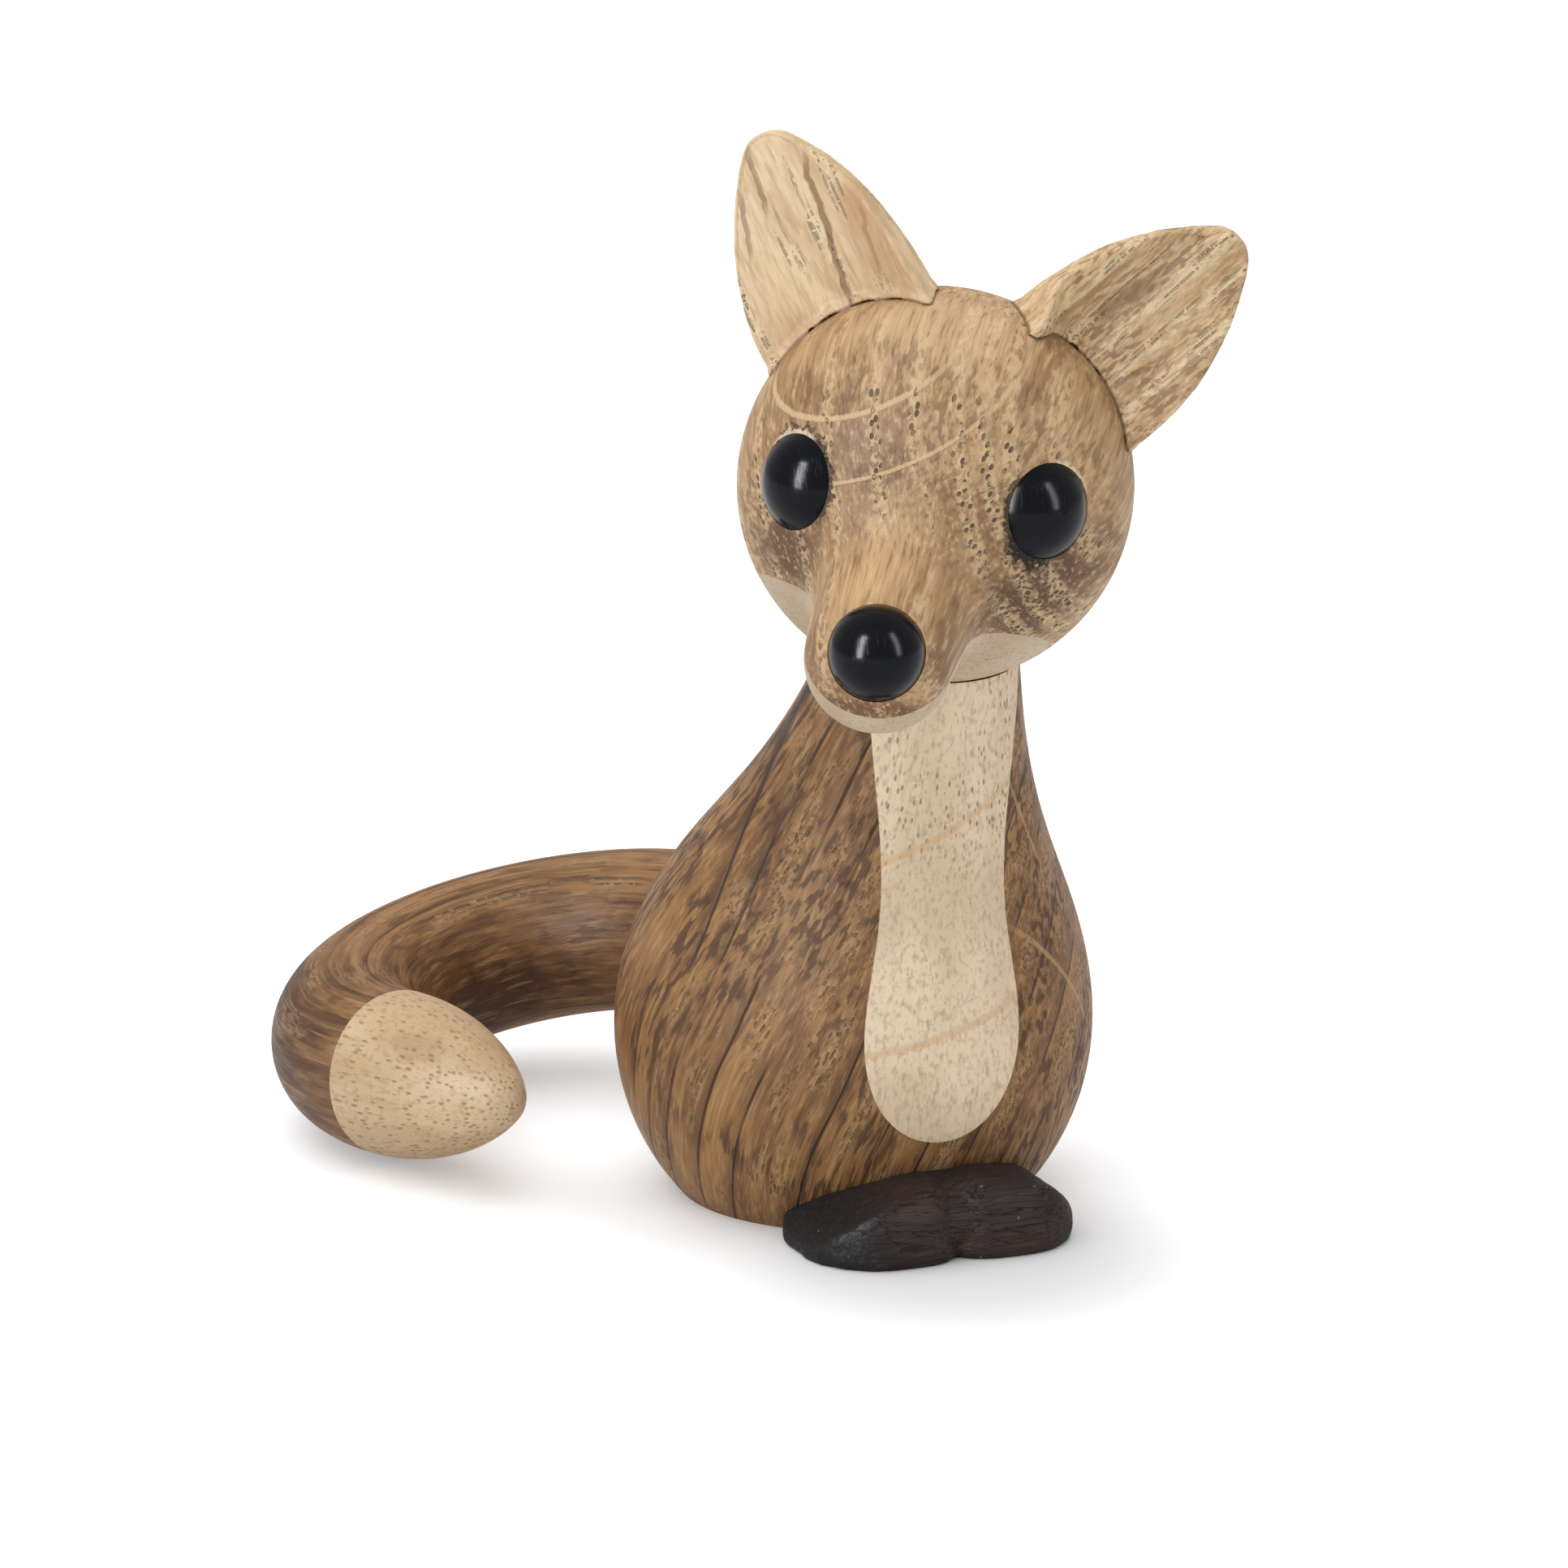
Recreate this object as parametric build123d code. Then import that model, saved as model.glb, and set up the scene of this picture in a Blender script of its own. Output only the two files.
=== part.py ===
from build123d import *
import math
import os

# A turned oak fox figurine with a turning head and a turning tail.
# Millimetres and degrees. +Z is up, the fox faces -Y and +X is the fox's left.
# The origin lies on the flat underside, straight below the centre of the belly.

# Fits
GLUE_GAP = 0.05       # radial room for glue round a fixed dowel, plug or tenon
RUNNING_GAP = 0.05    # radial room round a dowel that a piece turns on
SEAT_GAP = 0.12       # room between a turning piece and its seat
END_GAP = 0.5         # room left at the bottom of a drilled hole
TENON_ROOT = 1.0      # length of a tenon inside its own piece
OVERCUT = 40.0        # length of a cutter that must pass right through

# Torso, turned about an axis that leans forward through the belly centre
BELLY_HEIGHT = 14.2
BODY_LEAN_ANGLE = 23.8
BODY_BOTTOM = -21.0
BODY_TOP = 40.0
# Radius of the turned outline at distances along the axis from the belly centre
BODY_OUTLINE = [(-15, 13.0), (-9, 17.1), (0, 18.8), (9, 16.75), (18, 12.65), (26, 9.6)]
BODY_TOP_RADIUS = 6.3
BODY_TOP_SLOPE = -0.2   # change of radius with length at the top of the neck
OUTLINE_PULL = 1.0    # how strongly the outline holds the direction of its two ends
BIB_PLANE = -17.8     # glue plane of the pale chest facing

# Head ball and the dowel it turns on
HEAD_RADIUS = 15.0
HEAD_CENTRE = (0, -16.0, 59.5)
NECK_LEAN_ANGLE = 17.0
HEAD_TURN_ANGLE = -32.0     # turn to the fox's right
NECK_DOWEL_RADIUS = 2.5
NECK_DOWEL_IN_HEAD = 11.0
NECK_DOWEL_IN_TORSO = 12.0

# Muzzle, a blunt cone that grows out of the ball
MUZZLE_DROP_ANGLE = 11.8    # below the plane square to the neck axis
MUZZLE_STAND = 6.0    # from the ball to the centre of the round tip
MUZZLE_TIP_RADIUS = 5.5
MUZZLE_ROOT_RADIUS = 7.4
MUZZLE_FILLET = 6.0

# Pale jaw, glued along a round cope that runs across the head
JAW_COPE_RADIUS = 16.2
JAW_COPE_BACK = 3.76  # from the centre of the muzzle tip to the middle of the cope
JAW_COPE_BELOW = 15.81
JAW_COPE_ROLL_ANGLE = 2.5   # higher on the fox's right cheek

# Eyes and nose, round plugs with domed ends
EYE_RADIUS = 3.55
EYE_DEPTH = 3.2
EYE_DOME = 1.9
EYE_ANGLES = {"left": (44.9, 18.7), "right": (-40.2, 14.6)}   # turn to the left and rise
NOSE_RADIUS = 3.55
NOSE_TURN_ANGLE = 4.0
NOSE_RISE_ANGLE = 34.0
NOSE_RIM = 4.3        # from the tip centre to the edge of the nose dome
NOSE_DOME = 3.4
NOSE_DEPTH = 2.0

# Ears, cupped leaves with a round tenon
EAR_HALF_WIDTH = 6.95  # at the foot
EAR_BULGE_ANGLE = 6.0   # outward start of each side
EAR_PEAK_LENGTH = 17.4
EAR_TIP_RADIUS = 2.6
EAR_BACK_RADIUS = 9.5
EAR_BACK_BASE = -2.6
EAR_BACK_TILT_ANGLE = 8.0
EAR_SCOOP_RADIUS = 8.5  # at the foot
EAR_SCOOP_BASE = 1.8
EAR_SCOOP_TILT_ANGLE = -3.0
EAR_SCOOP_SPREAD_ANGLE = 25.0   # the hollow opens towards the tip
EAR_BOARD_FRONT = 5.5   # front face of the board that the ear is cut from
EAR_TENON_RADIUS = 1.6
EAR_TENON_LENGTH = 4.5
EAR_TENON_OFFSET = -0.3
EAR_ANGLES = {"left": (42.4, 20.0), "right": (-36.4, 15.0)}   # lean to the left and lean back
EAR_SPLAY_ANGLE = 2.9       # outward tilt of each ear at its foot
EAR_EDGE_ROUND = 0.5

# Tail, a round rod bent into a hook, with a pale pointed end
TAIL_RADIUS = 6.65
TAIL_HEIGHT = 13.2
TAIL_SEAT_Y = 17.3
TAIL_STRAIGHT = 6.8
TAIL_BEND_RADIUS = 16.6
TAIL_BEND_ANGLE = 199.0
TAIL_ROLL_ANGLE = 10.3
TAIL_DOWEL_RADIUS = 2.5
TAIL_DOWEL_IN_TAIL = 8.0
TAIL_DOWEL_IN_TORSO = 9.0
TIP_OGIVE_LENGTH = 16.6
TIP_END_RADIUS = 2.6
TIP_TENON_RADIUS = 2.0
TIP_TENON_LENGTH = 5.0

# Paws, one dark block of two round lobes coped to the belly
PAW_OFFSET = -0.1
PAW_SPACING = 9.7
PAW_HALF_WIDTH = 6.0
PAW_FRONT = -22.7
PAW_BACK = -8.0
PAW_HEIGHT = 5.95
PAW_OUTER_CORNER = 5.9
PAW_INNER_CORNER = 4.4
PAW_TOP_ROUND = 3.6
PAW_FOOT_ROUND = 0.8
PAW_ARCH_RADIUS = 20.0   # the top falls away towards both ends
PAW_ARCH_OFFSET = 1.0


def sine(angle):
    return math.sin(math.radians(angle))


def cosine(angle):
    return math.cos(math.radians(angle))


def leaning_axis(lean):
    """Direction that leans forward from straight up."""
    return Vector(0, -sine(lean), cosine(lean))


def facing(turn, rise):
    """Direction in the head's frame, turned to the fox's left and raised from the front."""
    return Vector(sine(turn) * cosine(rise), -cosine(turn) * cosine(rise), sine(rise))


def spun(sketch, height):
    """Half of a symmetric outline drawn along X, spun about X."""
    half = sketch & Pos(0, height / 2) * Rectangle(4 * height, height)
    return revolve(half, Axis.X)


def rod(plane, radius, low, high):
    """Cylinder along the Z of a plane between two heights."""
    standing = (Align.CENTER, Align.CENTER, Align.MIN)
    return plane * Pos(0, 0, low) * Cylinder(radius, high - low, align=standing)


def domed_plug(radius, bottom, rim, dome):
    """Round plug along Z with a domed end."""
    crown = TangentArc((0, rim + dome), (radius, rim), tangent=(1, 0))
    side = Polyline((radius, rim), (radius, bottom), (0, bottom), (0, rim + dome))
    return revolve(make_face(Plane.XZ * (crown + side)), Axis.Z)


def turned_body():
    """The whole pear-shaped body before it is divided and drilled."""
    points = [(radius, along) for along, radius in BODY_OUTLINE]
    ends = [(1, 0), (BODY_TOP_SLOPE, 1)]
    points = [(0, BODY_BOTTOM), *points, (BODY_TOP_RADIUS, BODY_TOP)]
    outline = Spline(*points, tangents=ends, tangent_scalars=[OUTLINE_PULL, OUTLINE_PULL])
    closing = Polyline((BODY_TOP_RADIUS, BODY_TOP), (0, BODY_TOP), (0, BODY_BOTTOM))
    pear = revolve(make_face(Plane.XZ * (outline + closing)), Axis.Z)
    lean = Plane(origin=(0, 0, BELLY_HEIGHT), x_dir=(1, 0, 0), z_dir=leaning_axis(BODY_LEAN_ANGLE))
    below_floor = Pos(0, 0, -OVERCUT) * Box(4 * OVERCUT, 4 * OVERCUT, 2 * OVERCUT)
    return lean * pear - below_floor


def muzzle_frame():
    """Frame at the ball centre with X along the muzzle and Z to the fox's left."""
    return Plane(origin=(0, 0, 0), x_dir=facing(0, -MUZZLE_DROP_ANGLE), z_dir=(1, 0, 0))


def head_blank():
    """Ball and muzzle in the head's own frame, with the neck axis along Z."""
    tip = Pos(HEAD_RADIUS + MUZZLE_STAND, 0) * Circle(MUZZLE_TIP_RADIUS)
    cone = make_hull(Circle(MUZZLE_ROOT_RADIUS).edges() + tip.edges())
    outline = Circle(HEAD_RADIUS) + cone
    inner_corners = outline.vertices().sort_by(Axis.X)[:2]
    outline = fillet(inner_corners, MUZZLE_FILLET)
    return muzzle_frame() * spun(outline, 2 * HEAD_RADIUS)


def ear_frame(lean_left, lean_back):
    """Location at the ball centre with Y out along the ear's foot and Z to its front."""
    upright = cosine(lean_back)
    along = Vector(sine(lean_left) * upright, sine(lean_back), cosine(lean_left) * upright)
    front = Vector(0, -1, 0) - along * along.dot(Vector(0, -1, 0))
    foot = Plane(origin=(0, 0, 0), x_dir=along.cross(front), z_dir=front).location
    outward = math.copysign(EAR_SPLAY_ANGLE, -lean_left)
    return foot * Pos(0, HEAD_RADIUS) * Rotation(0, 0, outward) * Pos(0, -HEAD_RADIUS)


def ear_back():
    """Cylinder along the ear whose near side is the round back of the ear."""
    upright = (0, cosine(EAR_BACK_TILT_ANGLE), sine(EAR_BACK_TILT_ANGLE))
    frame = Plane(origin=(0, HEAD_RADIUS, EAR_BACK_BASE + EAR_BACK_RADIUS), z_dir=upright)
    return frame * Cylinder(EAR_BACK_RADIUS, 2 * OVERCUT)


def ear_scoop():
    """Cone that opens towards the tip, with its near side along the floor of the hollow."""
    lean = EAR_SCOOP_TILT_ANGLE + EAR_SCOOP_SPREAD_ANGLE
    axis = Vector(0, cosine(lean), sine(lean))
    floor = Vector(0, HEAD_RADIUS, EAR_SCOOP_BASE)
    middle = floor + Vector(0, -sine(lean), cosine(lean)) * EAR_SCOOP_RADIUS
    point = EAR_SCOOP_RADIUS / math.tan(math.radians(EAR_SCOOP_SPREAD_ANGLE))
    mouth = EAR_SCOOP_RADIUS * (point + OVERCUT) / point
    standing = (Align.CENTER, Align.CENTER, Align.MIN)
    frame = Plane(origin=middle - axis * point, z_dir=axis)
    return frame * Cone(0, mouth, point + OVERCUT, align=standing)


def ear_leaf():
    """Cupped leaf along Y, long enough at its foot to be coped to the ball."""
    chord = math.sqrt(HEAD_RADIUS**2 - EAR_HALF_WIDTH**2)
    peak = chord + EAR_PEAK_LENGTH
    bulge = (sine(EAR_BULGE_ANGLE), cosine(EAR_BULGE_ANGLE))
    right_side = TangentArc((EAR_HALF_WIDTH, chord), (0, peak), tangent=bulge)
    left_side = mirror(right_side, Plane.YZ)
    foot_half_width = EAR_HALF_WIDTH - HEAD_RADIUS / 2 * bulge[0]
    foot_height = chord - HEAD_RADIUS / 2 * bulge[1]
    right_foot = (foot_half_width, foot_height)
    left_foot = (-foot_half_width, foot_height)
    foot = Polyline((EAR_HALF_WIDTH, chord), right_foot, left_foot, (-EAR_HALF_WIDTH, chord))
    leaf = make_face(right_side + left_side + foot)
    leaf = fillet(leaf.vertices().sort_by(Axis.Y)[-1], EAR_TIP_RADIUS)
    board = Pos(0, 0, EAR_BOARD_FRONT - HEAD_RADIUS) * extrude(leaf, HEAD_RADIUS)
    cupped = (board & ear_back()) - ear_scoop()
    rims = cupped.edges().filter_by(Axis.Z, reverse=True).filter_by_position(Axis.Y, chord, peak)
    return fillet(rims, EAR_EDGE_ROUND)


def ear_tenon(gap, end_gap):
    """Round tenon that stands into the ball below the ear, or its hole when given gaps."""
    stem = Plane(origin=(0, 0, EAR_TENON_OFFSET), z_dir=(0, 1, 0))
    foot = HEAD_RADIUS - EAR_TENON_LENGTH - end_gap
    return rod(stem, EAR_TENON_RADIUS + gap, foot, HEAD_RADIUS + TENON_ROOT)


def paw_block():
    """Two round lobes side by side, resting on the floor."""
    lobes = []
    for side in (-1, 1):
        plan = Rectangle(2 * PAW_HALF_WIDTH, PAW_BACK - PAW_FRONT)
        inner = plan.vertices().sort_by(Axis.Y)[:2].sort_by(Axis.X)[::side][0]
        plan = fillet(inner, PAW_INNER_CORNER)
        outer = plan.vertices().sort_by(Axis.X)[::-side][:2]
        plan = fillet(outer, PAW_OUTER_CORNER)
        centre = Pos(PAW_OFFSET + side * PAW_SPACING / 2, (PAW_BACK + PAW_FRONT) / 2)
        lobe = extrude(centre * plan, PAW_HEIGHT)
        lobe = fillet(lobe.faces().sort_by(Axis.Z)[-1].edges(), PAW_TOP_ROUND)
        lobe = fillet(lobe.faces().sort_by(Axis.Z)[0].edges(), PAW_FOOT_ROUND)
        lobes.append(lobe)
    crown = Plane(origin=(PAW_ARCH_OFFSET, 0, PAW_HEIGHT - PAW_ARCH_RADIUS), z_dir=(0, 1, 0))
    return (lobes[0] + lobes[1]) & crown * Cylinder(PAW_ARCH_RADIUS, 2 * OVERCUT)


# Frames of the turning pieces
neck_axis = leaning_axis(NECK_LEAN_ANGLE)
neck_frame = Plane(origin=HEAD_CENTRE, x_dir=(1, 0, 0), z_dir=neck_axis)
head_frame = neck_frame.location * Rotation(0, 0, HEAD_TURN_ANGLE)
tail_axis_frame = Plane(origin=(0, TAIL_SEAT_Y, TAIL_HEIGHT), z_dir=(0, 1, 0))
hook_plane = Plane(
    origin=(0, TAIL_SEAT_Y, TAIL_HEIGHT),
    x_dir=(cosine(TAIL_ROLL_ANGLE), 0, sine(TAIL_ROLL_ANGLE)),
    z_dir=(-sine(TAIL_ROLL_ANGLE), 0, cosine(TAIL_ROLL_ANGLE)),
)

# Neck and tail dowels, glued in the torso
neck_dowel_foot = -(HEAD_RADIUS + SEAT_GAP + NECK_DOWEL_IN_TORSO)
neck_dowel_top = -(HEAD_RADIUS - NECK_DOWEL_IN_HEAD)
neck_dowel = rod(neck_frame, NECK_DOWEL_RADIUS, neck_dowel_foot, neck_dowel_top)
neck_hole = rod(neck_frame, NECK_DOWEL_RADIUS + GLUE_GAP, neck_dowel_foot - END_GAP, 0)
neck_bore = rod(neck_frame, NECK_DOWEL_RADIUS + RUNNING_GAP, -OVERCUT, neck_dowel_top + END_GAP)
tail_dowel_end = SEAT_GAP + TAIL_DOWEL_IN_TAIL
tail_dowel = rod(tail_axis_frame, TAIL_DOWEL_RADIUS, -TAIL_DOWEL_IN_TORSO, tail_dowel_end)
tail_hole = rod(tail_axis_frame, TAIL_DOWEL_RADIUS + GLUE_GAP, -TAIL_DOWEL_IN_TORSO - END_GAP, 0)
tail_bore = rod(tail_axis_frame, TAIL_DOWEL_RADIUS + RUNNING_GAP, 0, tail_dowel_end + END_GAP)

# Torso and its pale chest facing
body = turned_body()
neck_cup = Pos(*HEAD_CENTRE) * Sphere(HEAD_RADIUS + SEAT_GAP)
tail_seat = rod(tail_axis_frame, TAIL_RADIUS + SEAT_GAP, 0, OVERCUT)
chest_side = Pos(0, BIB_PLANE - OVERCUT, OVERCUT) * Box(2 * OVERCUT, 2 * OVERCUT, 4 * OVERCUT)
seated_body = body - neck_cup
chest_bib = seated_body & chest_side
torso = seated_body - chest_side - neck_hole - tail_hole - tail_seat

# Paws
paws = paw_block() - body

# Head pieces, made in the head's own frame
tip_centre = facing(0, -MUZZLE_DROP_ANGLE) * (HEAD_RADIUS + MUZZLE_STAND)
eye_rim = math.sqrt(HEAD_RADIUS**2 - EYE_RADIUS**2)
bead_frames = {
    "left_eye": Plane(origin=(0, 0, 0), z_dir=facing(*EYE_ANGLES["left"])),
    "right_eye": Plane(origin=(0, 0, 0), z_dir=facing(*EYE_ANGLES["right"])),
    "nose": Plane(origin=tip_centre, z_dir=facing(NOSE_TURN_ANGLE, NOSE_RISE_ANGLE)),
}
bead_sizes = {
    "left_eye": (EYE_RADIUS, eye_rim, EYE_DOME, EYE_DEPTH),
    "right_eye": (EYE_RADIUS, eye_rim, EYE_DOME, EYE_DEPTH),
    "nose": (NOSE_RADIUS, NOSE_RIM, NOSE_DOME, NOSE_DEPTH),
}
cope_axis = Vector(cosine(JAW_COPE_ROLL_ANGLE), 0, -sine(JAW_COPE_ROLL_ANGLE))
cope_centre = tip_centre + Vector(0, JAW_COPE_BACK, -JAW_COPE_BELOW)
cope_frame = Plane(origin=cope_centre, z_dir=cope_axis)
jaw_cope = cope_frame * Cylinder(JAW_COPE_RADIUS, 2 * OVERCUT)
blank = head_blank()
beads = {}
for name, frame in bead_frames.items():
    radius, rim, dome, depth = bead_sizes[name]
    beads[name] = frame * domed_plug(radius, rim - depth, rim, dome)
    blank = blank - rod(frame, radius + GLUE_GAP, rim - depth, OVERCUT)
ears = {}
for side, place in EAR_ANGLES.items():
    frame = ear_frame(*place)
    ears[side] = frame * ear_leaf() - Sphere(HEAD_RADIUS) + frame * ear_tenon(0, 0)
    blank = blank - frame * ear_tenon(GLUE_GAP, END_GAP)
skull = head_frame * (blank - jaw_cope) - neck_bore
jaw = head_frame * (blank & jaw_cope) - neck_bore

# Tail hook and its pale end
bend_centre = (-TAIL_BEND_RADIUS, TAIL_STRAIGHT)
hook_end = Pos(*bend_centre) * Rotation(0, 0, TAIL_BEND_ANGLE) * Pos(TAIL_BEND_RADIUS, 0)
bend = CenterArc(bend_centre, TAIL_BEND_RADIUS, 0, TAIL_BEND_ANGLE)
hook_path = Line((0, SEAT_GAP), (0, TAIL_STRAIGHT)) + bend
section = Plane(origin=(0, SEAT_GAP, 0), z_dir=(0, 1, 0)) * Circle(TAIL_RADIUS)
hook = sweep(section, hook_path)
tip_frame = hook_end * Rotation(0, 0, 90)
tip_side = TangentArc((0, TAIL_RADIUS), (TIP_OGIVE_LENGTH, 0), tangent=(1, 0))
tip_outline = make_face(tip_side + mirror(tip_side, Plane.XZ) + Line((0, -TAIL_RADIUS), (0, TAIL_RADIUS)))
tip_outline = fillet(tip_outline.vertices().sort_by(Axis.X)[-1], TIP_END_RADIUS)
tenon_plane = Plane(origin=(0, 0, 0), z_dir=(-1, 0, 0))
tip_tenon = rod(tenon_plane, TIP_TENON_RADIUS, -TENON_ROOT, TIP_TENON_LENGTH)
tip_hole = rod(tenon_plane, TIP_TENON_RADIUS + GLUE_GAP, -TENON_ROOT, TIP_TENON_LENGTH + END_GAP)
tail = hook_plane * (hook - tip_frame * tip_hole) - tail_bore
tail_tip = hook_plane * tip_frame * (spun(tip_outline, 2 * TAIL_RADIUS) + tip_tenon)

pieces = {
    "torso": torso,
    "chest_bib": chest_bib,
    "neck_dowel": neck_dowel,
    "tail_dowel": tail_dowel,
    "paws": paws,
    "skull": skull,
    "jaw": jaw,
    "left_ear": head_frame * ears["left"],
    "right_ear": head_frame * ears["right"],
    "left_eye": head_frame * beads["left_eye"],
    "right_eye": head_frame * beads["right_eye"],
    "nose": head_frame * beads["nose"],
    "tail": tail,
    "tail_tip": tail_tip,
}
os.makedirs("parts", exist_ok=True)
for name, piece in pieces.items():
    export_step(piece, f"parts/{name}.step")
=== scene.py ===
import math

import bmesh
import bpy
from mathutils import Matrix, Vector


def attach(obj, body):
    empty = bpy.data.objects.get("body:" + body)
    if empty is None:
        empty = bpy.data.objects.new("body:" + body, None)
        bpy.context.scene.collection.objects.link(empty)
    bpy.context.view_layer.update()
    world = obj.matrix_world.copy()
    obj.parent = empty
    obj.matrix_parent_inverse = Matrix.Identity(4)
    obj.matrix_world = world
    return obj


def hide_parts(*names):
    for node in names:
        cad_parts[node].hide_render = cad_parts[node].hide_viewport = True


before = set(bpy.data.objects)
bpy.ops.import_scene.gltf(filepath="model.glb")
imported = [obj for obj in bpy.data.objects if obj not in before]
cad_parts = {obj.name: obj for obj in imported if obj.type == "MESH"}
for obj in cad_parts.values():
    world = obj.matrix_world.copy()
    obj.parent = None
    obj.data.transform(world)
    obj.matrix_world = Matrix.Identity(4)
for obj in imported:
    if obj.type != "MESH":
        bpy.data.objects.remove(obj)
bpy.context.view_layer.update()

MM = 0.001

# The photograph's camera
LOOK_AT = Vector((-5.17, 2.04, 32.54)) * MM
CAMERA_AZIMUTH = -21.5
CAMERA_ELEVATION = 14
CAMERA_DISTANCE = 0.6
SENSOR_WIDTH = 36
PHOTO_WIDTH = 1932
FOCAL_PIXELS = 9464

# Floor and studio light
FLOOR_RADIUS = 4
FLOOR_SIDES = 96
FLOOR_TONE = (0.848, 0.862, 0.878, 1)
FLOOR_GLOW = 0.33
BLACK = (0, 0, 0, 1)
WHITE = (1, 1, 1, 1)
# Painted shadow on the floor, where it glows less: a middle, the share of the glow left there, and the
# millimetres from it between which the glow comes back
PAINTED_FLOOR_SHADOWS = [
    (Vector((-1, -24, 0)) * MM, 0, 6, 26),
    (Vector((-16, -2, 0)) * MM, 0.45, 4, 20),
]
SKY_TONE = (0.62, 0.62, 0.62, 1)
LAMP_DISTANCE = 1.1
# Lamps for the wood: azimuth, elevation, width, height and power
WOOD_LAMPS = {
    "top_light": (-150, 72, 1.5, 1.5, 9.8),
    "side_light": (-50, 36, 0.9, 0.9, 3),
}
# Windows that only show in gloss
GLOSS_LAMPS = {
    "left_window": (-62, 24, 0.26, 1.0, 30),
    "right_window": (32, 28, 0.22, 1.0, 8),
}

# Places and sizes of the pieces, and directions of the wood in each
HEAD_CENTRE = Vector((0, -16, 59.5)) * MM
HEAD_RADIUS = 15
HEAD_LEFT = Vector((0.848, -0.5068, -0.1549)).normalized()
HEAD_BACK = Vector((0.5299, 0.811, 0.2479)).normalized()
NECK_AXIS = Vector((0, -0.2924, 0.9563)).normalized()
MUZZLE_AXIS = Vector((-0.5187, -0.7341, -0.4383)).normalized()
EYE_RADIUS = 3.55
LEFT_EYE_AXIS = Vector((0.2114, -0.9767, 0.0367)).normalized()
RIGHT_EYE_AXIS = Vector((-0.9214, -0.3566, 0.1546)).normalized()
BELLY_CENTRE = Vector((0, 0, 14.2)) * MM
BODY_AXIS = Vector((0, -0.4035, 0.915)).normalized()
BODY_FIBRE = Vector((0.2634, -0.4904, 0.8768)).normalized()
BODY_RINGS = Vector((-0.93, 0.307, 0.135)).normalized()
TAIL_SEAT = Vector((0, 17.3, 13.2)) * MM
TAIL_AXIS = Vector((0, 1, 0))
TAIL_ROLL = math.radians(10.3)
TAIL_BEND_RADIUS = 16.6
TAIL_STRAIGHT = 6.8
TAIL_BEND_ANGLE = math.radians(199)
TAIL_CUT_ANGLE = math.radians(100)
PAW_CENTRE = Vector((0, -16, 3)) * MM
PAW_RINGS = Vector((0, -0.5, 1)).normalized()
PAW_FIBRE = Vector((1, 0, 0))
EAR_FIBRES = {"left_ear": (0.634, 0.342, 0.694), "right_ear": (-0.573, 0.259, 0.778)}

# Joining and softening of meshes, and the lowest corner that a carved point may reach, in metres
MERGE_DISTANCE = 1e-6
SOFTENING_SHARE = 0.5
FLOOR_CORNER = (-1, -1, 0)

# Carving of the ears and the paws: the names of its inputs
CARVING_VECTORS = (
    "Across", "Sideways", "Fibre", "Grain Size", "Lump Size", "Chip Size", "Crease Point", "Slide Point",
    "Slide",
)
CARVING_NUMBERS = (
    "Grain Depth", "Lump Depth", "Chip Depth", "Foot Sink", "Swell", "Crease Depth", "Crease Width",
    "Step Depth", "Slide Reach",
)
# Millimetres from the ball's centre: where an ear is carved freely, where its foot starts and ends,
# and the painted shade of the gap at the foot
FREE_REACH = (HEAD_RADIUS + 0.2, HEAD_RADIUS + 1)
FOOT_START = (HEAD_RADIUS - 0.3, HEAD_RADIUS - 0.1)
FOOT_END = (HEAD_RADIUS + 0.3, HEAD_RADIUS + 1.6)
FOOT_SHADE = (HEAD_RADIUS + 0.1, HEAD_RADIUS + 0.3)
# How far a surface faces forward where creases fade in, and the noise over which chips rise
FRONT_FACING = (0.3, 0.7)
CHIPPED = (0.4, 0.6)
# Values of the carving, lengths in millimetres
EAR_VOXEL = 0.12
EAR_SOFTENING = 4
EAR_CARVING = {
    "Grain Size": (0.4, 0.5, 4), "Grain Depth": 0.07, "Lump Size": (1.6, 1.8, 5), "Lump Depth": 0.22,
    "Chip Size": (1.6, 1.6, 4), "Chip Depth": 0.4, "Foot Sink": 0.25, "Swell": 0.0,
}
# Each ear's crease and the step beside it, and how one corner of its foot slides along the ball
EAR_CREASES = {
    "right_ear": {
        "Crease Point": (-7.3, -12.4, 78.7), "Crease Depth": 0.25, "Crease Width": 0.5, "Step Depth": 0.3,
        "Slide Point": (-2.7, -19.7, 74.2), "Slide": (0.58, 0.11, 1.26), "Slide Reach": 4.0,
    },
    "left_ear": {
        "Crease Point": (12.9, -22.3, 74.1), "Crease Depth": 0.8, "Crease Width": 1.6, "Step Depth": 0.0,
        "Slide Point": (4.2, -22.4, 73), "Slide": (0.7, -0.69, -1.55), "Slide Reach": 4.5,
    },
}
PAW_VOXEL = 0.15
PAW_SOFTENING = 40
PAW_FILLER_CENTRE = Vector((-0.1, -15.4, 2.8)) * MM
PAW_FILLER_RADII = Vector((3.4, 6.7, 2.95)) * MM
PAW_FILLER_SIDES = 48
PAW_ENDS = (-10.95, 10.75)
PAW_END_LENGTHS = (3.4, 4.6)
PAW_END_HEIGHT = 0.34
PAW_CARVING = {
    "Grain Size": (0.3, 0.3, 3.5), "Grain Depth": 0.08, "Lump Size": (2.2, 2.2, 6), "Lump Depth": 0.35,
    "Chip Size": (1, 1, 1), "Chip Depth": 0.0, "Foot Sink": 0.0, "Swell": 0.4,
    "Crease Point": (0, 0, 0), "Crease Depth": 0.0, "Crease Width": 1.0, "Step Depth": 0.0,
    "Slide Point": (0, 0, 0), "Slide": (0, 0, 0), "Slide Reach": 1.0,
}

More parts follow.
